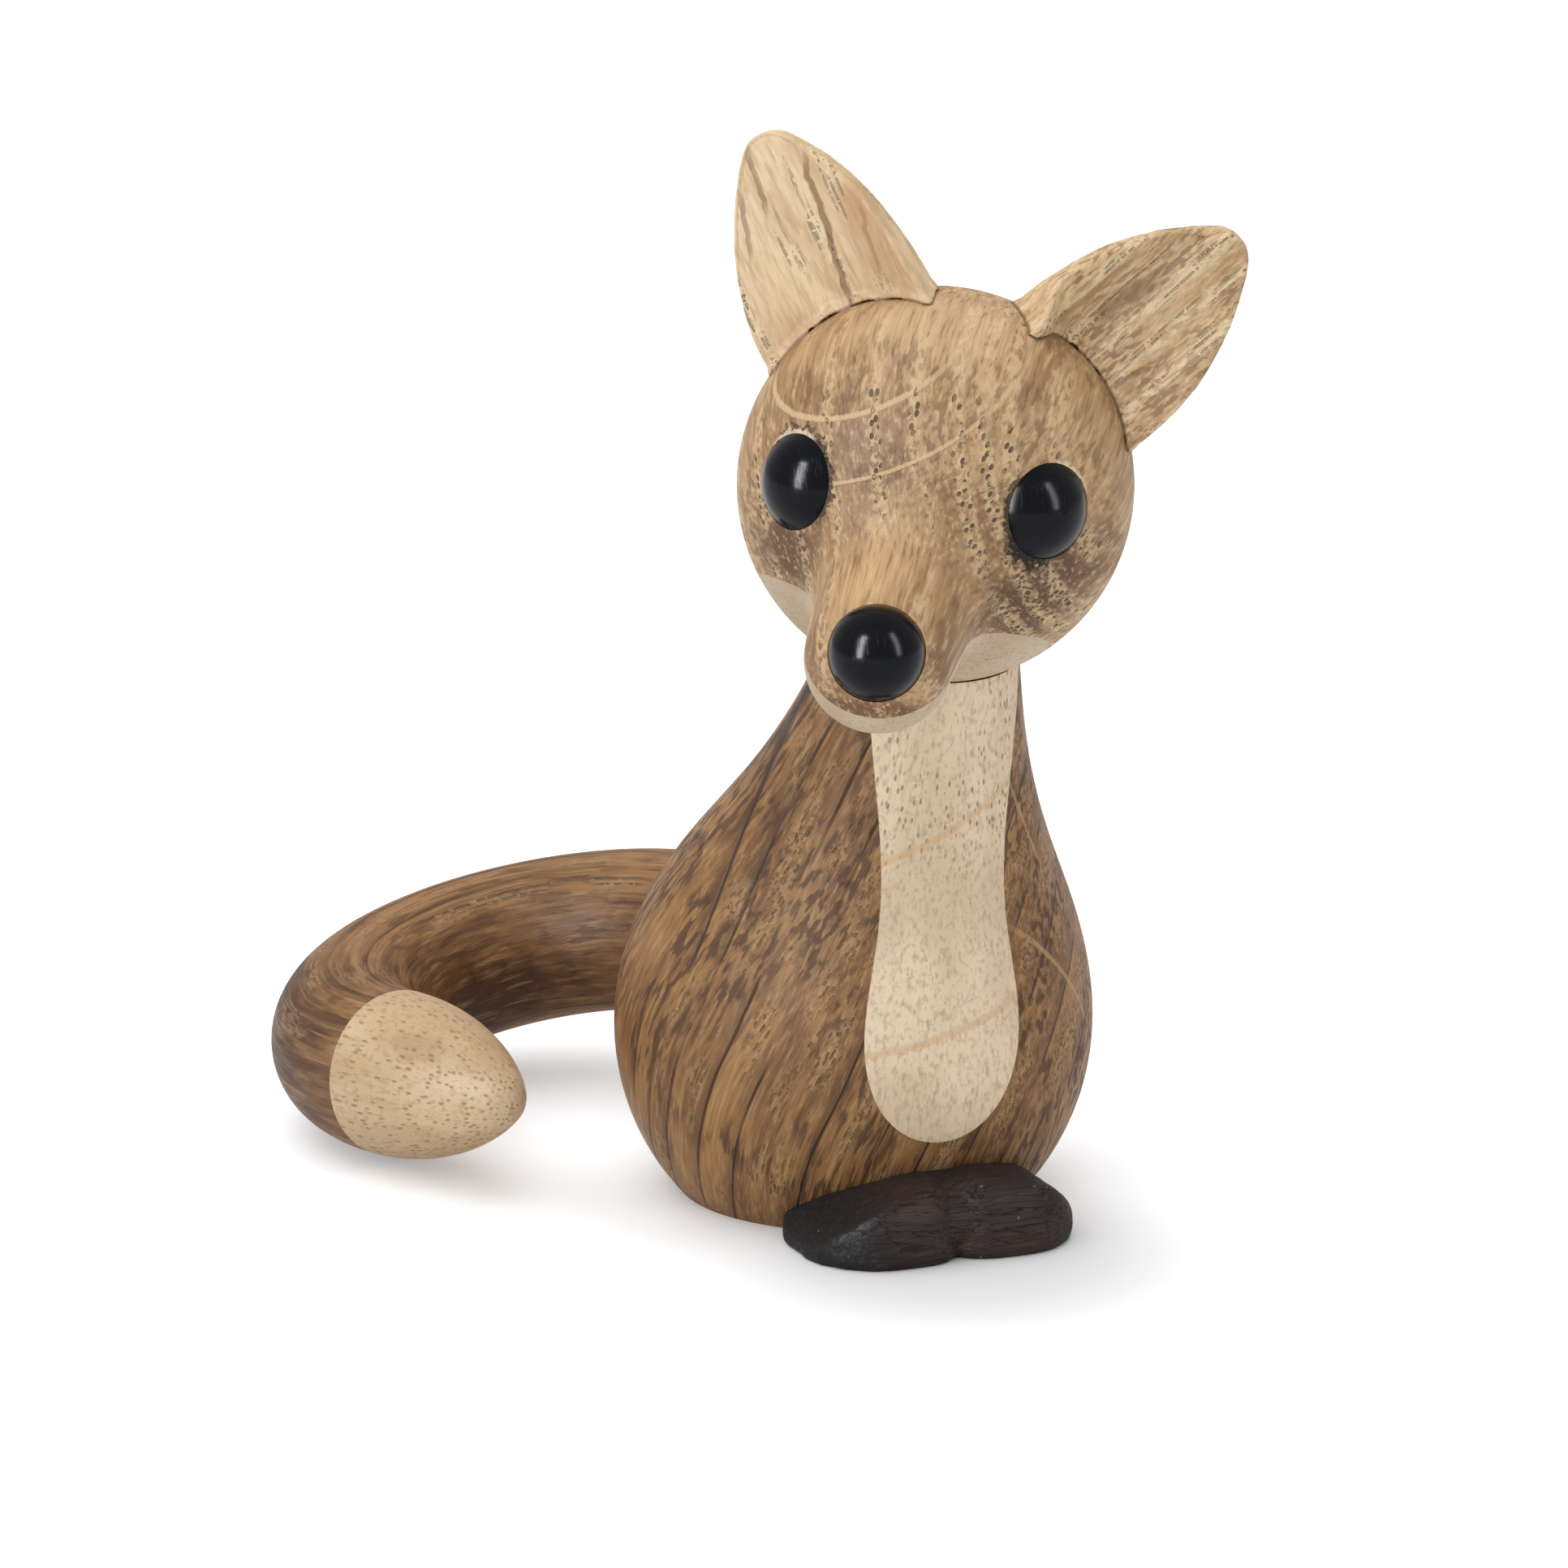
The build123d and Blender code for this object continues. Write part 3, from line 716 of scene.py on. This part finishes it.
# Looks of each piece: ring lines and rows of pits are placed in millimetres across the growth rings
OAK_LOOK = {
    "lean": 0, "bow": 0, "bow_start": 0, "blotch_span": EVERYWHERE, "pit_span": EVERYWHERE,
    "line_strength": 0, "lines": [],
}
BODY_LOOK = {
    **OAK_LOOK, "bow": 0.022, "bow_start": 2, "bend": 0.8, "tone_size": (2, 5, 10),
    "streaks": 0.5, "streak_size": (0.25, 0.5, 5),
    "blotches": 0.85, "blotch_size": (0.5, 0.65, 2.8), "blotch_span": (-5, FAR),
    "line_strength": 0.95, "lines": [-15.2, -11.6, -8.3, -4.8, -1.2, 3.5, 9.1, 11.9, 14.6, 16.2, 17.6],
    "rows": [-13.4, -10, -6.6, -3, 1.2, 5.4, 7.4, 10.5, 13.2, 15.3], "row_width": 1.6, "row_gaps": 0.46,
    "pits": 0.45, "pit_size": (0.36, 0.36, 1), "pit_length": 0.4, "pale_rows": 0.5,
}
HEAD_LOOK = {
    **OAK_LOOK, "lean": 0.45, "bend": 0.5, "tone_size": (1.6, 4, 10),
    "streaks": 0.6, "streak_size": (0.3, 0.5, 6),
    "blotches": 0.55, "blotch_size": (0.7, 0.6, 2.6), "blotch_span": (3, 11),
    "rows": [-13, -9.5, -6, -2.5, 1.3, 4.4, 7.2, 8.9, 10.4, 12.9], "row_width": 1.15, "row_gaps": 0.36,
    "pits": 0.85, "pit_size": (0.62, 0.62, 1), "pit_length": 1, "pit_span": (7, 12.5), "pale_rows": 0.65,
}
EAR_LOOK = {
    **OAK_LOOK, "lean": 0.3, "bend": 1, "tone_size": (2.5, 5, 12),
    "streaks": 0.35, "streak_size": (0.3, 0.4, 3),
    "blotches": 0.3, "blotch_size": (0.6, 0.8, 2.5),
    "rows": [2.4 * step for step in range(-9, 10)], "row_width": 1.2, "row_gaps": 0.44,
    "pits": 0.35, "pit_size": (0.4, 0.4, 1), "pit_length": 0.35, "pale_rows": 0.4,
}
ROUGH_EAR_LOOK = {
    **EAR_LOOK, "streaks": 0.6, "streak_size": (0.25, 0.35, 1.2), "blotches": 0.8,
    "blotch_size": (0.4, 0.5, 1.2), "pale_rows": 0.9, "row_gaps": 0.36,
}
TAIL_LOOK = {
    **OAK_LOOK, "bend": 1.5, "tone_size": (1.6, 3, 14),
    "streaks": 0.5, "streak_size": (0.3, 0.4, 6),
    "blotches": 0.5, "blotch_size": (0.6, 0.8, 4),
    "line_strength": 0.15, "lines": [-5, -2.2, 0.8, 3.6],
    "rows": [-3.6, -0.6, 2.3, 5], "row_width": 1.4, "row_gaps": 0.42,
    "pits": 0.4, "pit_size": (0.36, 0.36, 1), "pit_length": 0.8, "pale_rows": 0.4,
}
MAPLE_LOOK = {"dashes_from": -FAR, "dash_gaps": 0.36}
BIB_LOOK = {
    **MAPLE_LOOK, "dashes": 1, "dashes_from": 27, "dash_gaps": 0.34, "dash_size": (0.36, 0.36, 1.5),
    "streaks": 0.5, "mottle": 0.4,
}
JAW_LOOK = {**MAPLE_LOOK, "dashes": 0.15, "dash_size": (0.32, 0.32, 1.2), "streaks": 0.3, "mottle": 0.2}
TIP_LOOK = {
    **MAPLE_LOOK, "dashes": 0.6, "dash_gaps": 0.24, "dash_size": (0.42, 0.42, 1.6),
    "streaks": 0.3, "mottle": 0.35,
}
DOWEL_LOOK = {**MAPLE_LOOK, "dashes": 0.6, "dash_size": (0.35, 0.35, 1.3), "streaks": 0.4, "mottle": 0.2}

# Patches, some stains and some painted light or shade: middle and size across, along the rings and along
# the fibre, then tone and strength
HEAD_STAINS_AND_SHADE = [
    ((-4.5, 10, 10), (4.5, 3.5, 6), srgb(130, 97, 69), 0.7),
    ((-9, 10.5, 5.6), (2.6, 2, 4), srgb(134, 99, 69), 0.6),
    ((-9, 1, 12), (4, 5, 7), srgb(92, 65, 45), 0.9),
    # Dark on the cheek on the head's left: partly the oak's stain, partly painted shade on the lower
    # cheek
    ((10, 1, 11), (6.5, 6, 8), srgb(86, 61, 43), 0.95),
    ((0.5, -1, 26.2), (5.6, 2.8, 3), srgb(104, 73, 50), 0.9),
    ((-4.6, 1.5, 23), (1.3, 4, 4.5), srgb(130, 96, 67), 0.6),
    ((5, 2.4, 21), (1.5, 4, 6), srgb(118, 86, 59), 0.65),
    ((6.5, 7, 11.6), (2.4, 4, 4), srgb(134, 100, 70), 0.6),
    ((-1.4, 15, 0), (8, 4, 8), srgb(204, 174, 134), 0.6),
    ((11.4, 9.5, 2), (4.5, 4, 6), srgb(186, 154, 114), 0.5),
    ((-1, 6, 16.8), (3.4, 4, 7), srgb(200, 164, 119), 0.7),
]
TAIL_STAINS_AND_SHADING = [
    ((0, 0, 57), (10, 10, 5), srgb(150, 103, 61), 0.6),
    # Dark on the inside of the bend: partly the oak's darker brown, partly painted shade
    ((-6.5, -2.6, 30), (4, 6.2, 15), srgb(60, 37, 22), 0.9),
    ((-4.6, 4.4, 16), (2.6, 2.4, 12), srgb(158, 116, 70), 0.7),
    # Paler along the top of the rod: painted light on its upper side
    ((0, 7, 22), (6, 4, 22), srgb(156, 118, 79), 0.45),
    ((5.6, 2, 47), (7, 10, 14), srgb(72, 45, 25), 0.9),
]
# Patches of the tail tip, in the frame's own millimetres
TIP_STAINS = [
    ((-33, 10.6, 11.8), (3.4, 3.4, 1.4), srgb(164, 130, 96), 0.4),
    ((-28.9, 8.2, 3.9), (0.7, 0.7, 0.7), srgb(190, 128, 70), 0.7),
]
# Pale ray lines: slope, place, width, and where they start and end across the rings
HEAD_RAYS = [(0.5, 14.25, 0.34, -13, 4), (0.5, 10.65, 0.34, -7, 8)]
BODY_RAYS = [(0.43, 11.2, 0.4, -14.5, -2), (0.2, 5.08, 0.35, -5, 3)]
# Faint lines of the chest: slope, place along the fibre and width
BIB_LINES = [(0.57, 23.3, 0.8), (0.28, 8.8, 0.8)]

# Marks: what is drawn, its tone, strength and relief
EYE_MARKS = [
    (chipped_rim(RIGHT_EYE_AXIS, PHOTO_UP * 0.9 + PHOTO_RIGHT * 0.2, 1.1, 0.8), "torn", 0.7, -0.8),
    (chipped_rim(RIGHT_EYE_AXIS, PHOTO_UP, 0.65, 0.85), "chip", 0.7, 0.4),
    (chipped_rim(RIGHT_EYE_AXIS, PHOTO_RIGHT, 0.6, 0.6), "torn", 0.8, -0.6),
    (chipped_rim(LEFT_EYE_AXIS, -PHOTO_RIGHT * 0.5 - PHOTO_UP * 0.8, 1.6, 0.88), "torn", 1, -1),
    (chipped_rim(LEFT_EYE_AXIS, -PHOTO_RIGHT, 0.6, 0.6), "torn", 0.85, -0.6),
    (chipped_rim(LEFT_EYE_AXIS, PHOTO_RIGHT * 0.6 + PHOTO_UP * 0.7, 0.6, 0.9), "chip", 0.6, 0.3),
]
RIGHT_EAR_MARKS = [
    (drawn_line((-8.8, -11.0, 84.1), (-5.9, -13.8, 73.3), 0.3), "line", 0.7, -1),
    (drawn_line((-12.0, -8.0, 84.2), (-10.9, -9.2, 79.5), 0.25), "line", 0.55, -0.8),
    (drawn_line((-12.7, -7.9, 81.2), (-12.1, -9.2, 76.2), 0.25), "line", 0.55, -0.8),
    (drawn_line((-5.8, -15.1, 81.2), (-4.5, -16.0, 75.5), 0.22), "line", 0.5, -0.6),
    # A wide dark band along the fold, with no relief: painted shade in the crease
    (drawn_line((-6.4, -14.8, 82.6), (-3.9, -16.4, 75.5), 2.4), "dark", 0.4, 0),
    (drawn_line((-6.6, -14.6, 82.4), (-5.4, -15.4, 79.4), 1.2), "patch", 0.4, 0),
    # Painted shade on the ear's foot where it meets the ball
    (ear_foot_shade, "line", 0.8, 0),
]
LEFT_EAR_MARKS = [
    (drawn_line((10.5, -21.7, 72.3), (15.3, -22.9, 75.9), 0.9), "dark", 0.7, -0.5),
    (drawn_line((11.4, -22.1, 67.1), (14.6, -23.1, 68.9), 0.3), "line", 0.5, -0.6),
    (drawn_line((7.3, -21.6, 72.2), (13.2, -23.0, 77.3), 0.4), "dark", 0.6, -0.5),
    # Painted shade on the ear's foot where it meets the ball
    (ear_foot_shade, "line", 0.8, 0),
]


def dress(node, material):
    """Gives a node of the frame its material."""
    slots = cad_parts[node].data.materials
    slots.clear()
    slots.append(material)


def dress_fox():
    dress("torso", oak("smoked_oak_body", body_grain, BODY_TONES, BODY_LOOK, rays=BODY_RAYS))
    skull = oak("smoked_oak_head", head_grain, HEAD_TONES, HEAD_LOOK, HEAD_STAINS_AND_SHADE, HEAD_RAYS, EYE_MARKS)
    dress("skull", skull)
    dress("tail", oak("smoked_oak_tail", tail_grain, TAIL_TONES, TAIL_LOOK, TAIL_STAINS_AND_SHADING))
    dress("chest_bib", maple("maple_bib", bib_grain, BIB_TONES, BIB_LOOK, BIB_LINES))
    dress("jaw", maple("maple_jaw", head_grain, SHADED_JAW_TONES, JAW_LOOK))
    dress("tail_tip", maple("maple_tail_tip", tail_tip_grain, TIP_TONES, TIP_LOOK, stains_and_shading=TIP_STAINS))
    dress("neck_dowel", maple("beech_neck_dowel", dowel_grain(NECK_AXIS), BEECH_TONES, DOWEL_LOOK))
    dress("tail_dowel", maple("beech_tail_dowel", dowel_grain(TAIL_AXIS), BEECH_TONES, DOWEL_LOOK))
    lacquer = black_lacquer("black_lacquer")
    for node in ("left_eye", "right_eye", "nose"):
        dress(node, lacquer)


def merged_copy(node):
    """A copy of a node's mesh with its seams closed, open for mesh work."""
    shape = bmesh.new()
    shape.from_mesh(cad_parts[node].data)
    bmesh.ops.remove_doubles(shape, verts=shape.verts, dist=MERGE_DISTANCE)
    return shape


def make_plain(piece):
    """Turns what a piece's modifiers make into its own mesh."""
    graph = bpy.context.evaluated_depsgraph_get()
    mesh = bpy.data.meshes.new_from_object(piece.evaluated_get(graph))
    piece.modifiers.clear()
    piece.data = mesh


def even_piece(name, shape, voxel, softening):
    """One even, softened mesh made from a shape, ready to be carved."""
    mesh = bpy.data.meshes.new(name)
    shape.to_mesh(mesh)
    shape.free()
    piece = bpy.data.objects.new(name, mesh)
    bpy.context.collection.objects.link(piece)
    even = piece.modifiers.new("even", "REMESH")
    even.mode = "VOXEL"
    even.voxel_size = voxel * MM
    even.use_smooth_shade = True
    soft = piece.modifiers.new("soft", "SMOOTH")
    soft.factor = SOFTENING_SHARE
    soft.iterations = softening
    make_plain(piece)
    return piece


def rough_grain():
    """Lowers a surface along the grain, creases it, and chips and slides its foot along the ball."""
    inputs = {"Geometry": "NodeSocketGeometry", "Material": "NodeSocketMaterial"}
    inputs.update({name: "NodeSocketVector" for name in CARVING_VECTORS})
    inputs.update({name: "NodeSocketFloat" for name in CARVING_NUMBERS})
    carving = Carving("rough_grain", inputs)
    place = carving.scaled(carving.point(), 1 / MM)
    axes = [carving.input(name) for name in ("Across", "Sideways", "Fibre")]
    along = carving.joined([carving.vector("DOT_PRODUCT", place, axis, output=1) for axis in axes])
    fine = (carving.lumpy(along, "Grain Size") - 1) * carving.input("Grain Depth")
    lumps = (carving.lumpy(along, "Lump Size") - 1) * carving.input("Lump Depth")

    from_crease = carving.vector("SUBTRACT", place, carving.input("Crease Point"))
    side = carving.vector("CROSS_PRODUCT", carving.input("Fibre"), tuple(TO_CAMERA))
    off = carving.vector("DOT_PRODUCT", from_crease, carving.vector("NORMALIZE", side), output=1)
    width = carving.input("Crease Width")
    crease = carving.fall(abs(off), 0, width) * carving.input("Crease Depth")
    step = carving.fall(off, width * -1, width) * carving.input("Step Depth")
    normal = carving.node("GeometryNodeInputNormal")
    front = carving.vector("DOT_PRODUCT", normal, tuple(TO_CAMERA), output=1)
    front = carving.rise(front, *FRONT_FACING)

    outward = carving.vector("SUBTRACT", place, HEAD_CENTRE / MM)
    reach = carving.vector("LENGTH", outward, output=1)
    free = carving.rise(reach, *FREE_REACH)
    rise = (fine + lumps - (crease + step) * front) * free + carving.input("Swell")
    foot = carving.rise(reach, *FOOT_START) * carving.fall(reach, *FOOT_END)
    chips = carving.rise(carving.lumpy(along, "Chip Size"), *CHIPPED) * carving.input("Chip Depth")
    raised = foot * (chips - carving.input("Foot Sink"))
    away = carving.scaled(carving.vector("NORMALIZE", outward), raised * MM)

    from_corner = carving.vector("DISTANCE", place, carving.input("Slide Point"), output=1)
    near = carving.fall(from_corner, 0, carving.input("Slide Reach"))
    slid = carving.vector("ADD", outward, carving.scaled(carving.input("Slide"), near))
    slid = carving.scaled(carving.vector("NORMALIZE", slid), reach)
    shift = carving.scaled(carving.vector("SUBTRACT", slid, outward), MM)
    offset = carving.vector("ADD", carving.scaled(normal, rise * MM), carving.vector("ADD", away, shift))
    position = carving.vector("ADD", carving.point(), offset)
    above_floor = carving.vector("MAXIMUM", position, FLOOR_CORNER)
    sockets = {"Geometry": carving.input("Geometry"), "Position": above_floor}
    moved = carving.node("GeometryNodeSetPosition", {}, sockets)
    carving.finish(moved, carving.input("Material"))
    return carving


def carve(carving, piece, node, body, rings, fibre, settings):
    """Carves a piece along its grain and puts it in the place of a node of the frame."""
    across = (rings - fibre * rings.dot(fibre)).normalized()
    axes = {"Across": across, "Sideways": fibre.cross(across), "Fibre": fibre}
    carving.use_on(piece, {**axes, **settings})
    make_plain(piece)
    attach(piece, body)
    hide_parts(node)


def carve_ears(carving):
    finishes = {
        "right_ear": (RIGHT_EAR_TONES, EAR_LOOK, RIGHT_EAR_MARKS),
        "left_ear": (LEFT_EAR_TONES, ROUGH_EAR_LOOK, LEFT_EAR_MARKS),
    }
    for node, (tones, look, marks) in finishes.items():
        fibre = ear_fibre(EAR_FIBRES[node])
        material = oak("ear_oak_" + node, ear_grain(fibre), tones, look, marks=marks)
        piece = even_piece(node + "_carved", merged_copy(node), EAR_VOXEL, EAR_SOFTENING)
        settings = {"Material": material, **EAR_CARVING, **EAR_CREASES[node]}
        carve(carving, piece, node, "head", HEAD_LEFT, fibre, settings)


def lower_ends(mesh):
    """Rounds both ends of the paws down towards the floor."""
    for vertex in mesh.vertices:
        for end, length in zip(PAW_ENDS, PAW_END_LENGTHS):
            left = min(abs(vertex.co.x / MM - end) / length, 1)
            vertex.co.z *= PAW_END_HEIGHT + (1 - PAW_END_HEIGHT) * math.sqrt(1 - (1 - left) ** 2)


def carve_paws(carving):
    """The paws as one soft block: the groove between them is filled to a shallow dip."""
    shape = merged_copy("paws")
    place = Matrix.Translation(PAW_FILLER_CENTRE) @ Matrix.Diagonal((*PAW_FILLER_RADII, 1))
    sides = PAW_FILLER_SIDES
    bmesh.ops.create_uvsphere(shape, u_segments=sides, v_segments=sides // 2, radius=1, matrix=place)
    piece = even_piece("paws_carved", shape, PAW_VOXEL, PAW_SOFTENING)
    lower_ends(piece.data)
    material = stained_oak("stained_oak_paws", paw_grain, STAINED_TONES)
    settings = {"Material": material, **PAW_CARVING}
    carve(carving, piece, "paws", "torso", PAW_RINGS, PAW_FIBRE, settings)


def aim(obj, back):
    """Turns a camera or a lamp so that it looks against the direction given."""
    obj.rotation_euler = back.to_track_quat("Z", "Y").to_euler()


def add_camera():
    lens = bpy.data.cameras.new("photo_camera")
    lens.sensor_width = SENSOR_WIDTH
    lens.lens = SENSOR_WIDTH * FOCAL_PIXELS / PHOTO_WIDTH
    camera = bpy.data.objects.new("photo_camera", lens)
    camera.location = LOOK_AT + TO_CAMERA * CAMERA_DISTANCE
    aim(camera, TO_CAMERA)
    bpy.context.collection.objects.link(camera)
    bpy.context.scene.camera = camera


def add_lamps(lamps, mirrored):
    """Soft lamps that light the surfaces, or that only show in gloss where they are mirrored."""
    for name, (azimuth, elevation, width, height, power) in lamps.items():
        light = bpy.data.lights.new(name, "AREA")
        light.shape = "RECTANGLE"
        light.size = width
        light.size_y = height
        light.energy = power
        lamp = bpy.data.objects.new(name, light)
        back = direction(azimuth, elevation)
        lamp.location = LOOK_AT + back * LAMP_DISTANCE
        lamp.visible_camera = False
        lamp.visible_glossy = mirrored
        lamp.visible_diffuse = not mirrored
        aim(lamp, back)
        bpy.context.collection.objects.link(lamp)


def seen_or_mirrored(finish):
    """1 for rays from the camera, from glossy surfaces and through clear ones."""
    camera = finish.node("ShaderNodeLightPath", output="Is Camera Ray")
    return camera + camera.also("Is Glossy Ray") + camera.also("Is Transmission Ray")


def light_world():
    """A plain pale studio all round."""
    world = bpy.data.worlds.new("studio")
    bpy.context.scene.world = world
    world.use_nodes = True
    world.node_tree.nodes.clear()
    sky = Nodes(world.node_tree)
    shader = sky.node("ShaderNodeBackground", {}, {"Color": SKY_TONE, "Strength": 1})
    sky.node("ShaderNodeOutputWorld", {}, {"Surface": shader})


def add_floor():
    """A wide white floor that glows a little, so that it reaches white, but less near the fox: painted
    shadow around it.
    """
    mesh = bpy.data.meshes.new("floor")
    disc = bmesh.new()
    bmesh.ops.create_circle(disc, cap_ends=True, segments=FLOOR_SIDES, radius=FLOOR_RADIUS)
    disc.to_mesh(mesh)
    disc.free()
    floor = bpy.data.objects.new("floor", mesh)
    bpy.context.collection.objects.link(floor)
    paper = Finish("white_paper")
    matt = paper.node("ShaderNodeBsdfDiffuse", {}, {"Color": FLOOR_TONE})
    share = 1
    # Each dip lowers the glow near the fox, painting soft shadow on the floor
    for centre, least, start, end in PAINTED_FLOOR_SHADOWS:
        share = share * (least + (1 - least) * paper.rise(paper.reach_from(centre), start, end))
    colour = paper.mix(share, BLACK, WHITE)
    strength = seen_or_mirrored(paper) * FLOOR_GLOW
    glow = paper.node("ShaderNodeEmission", {}, {"Color": colour, "Strength": strength})
    both = paper.node("ShaderNodeAddShader", {}, {0: matt, 1: glow})
    paper.node("ShaderNodeOutputMaterial", {}, {"Surface": both})
    mesh.materials.append(paper.material)


bpy.context.scene.view_settings.view_transform = "Standard"
dress_fox()
grain_carving = rough_grain()
carve_ears(grain_carving)
carve_paws(grain_carving)
add_camera()
add_lamps(WOOD_LAMPS, mirrored=False)
add_lamps(GLOSS_LAMPS, mirrored=True)
light_world()
add_floor()
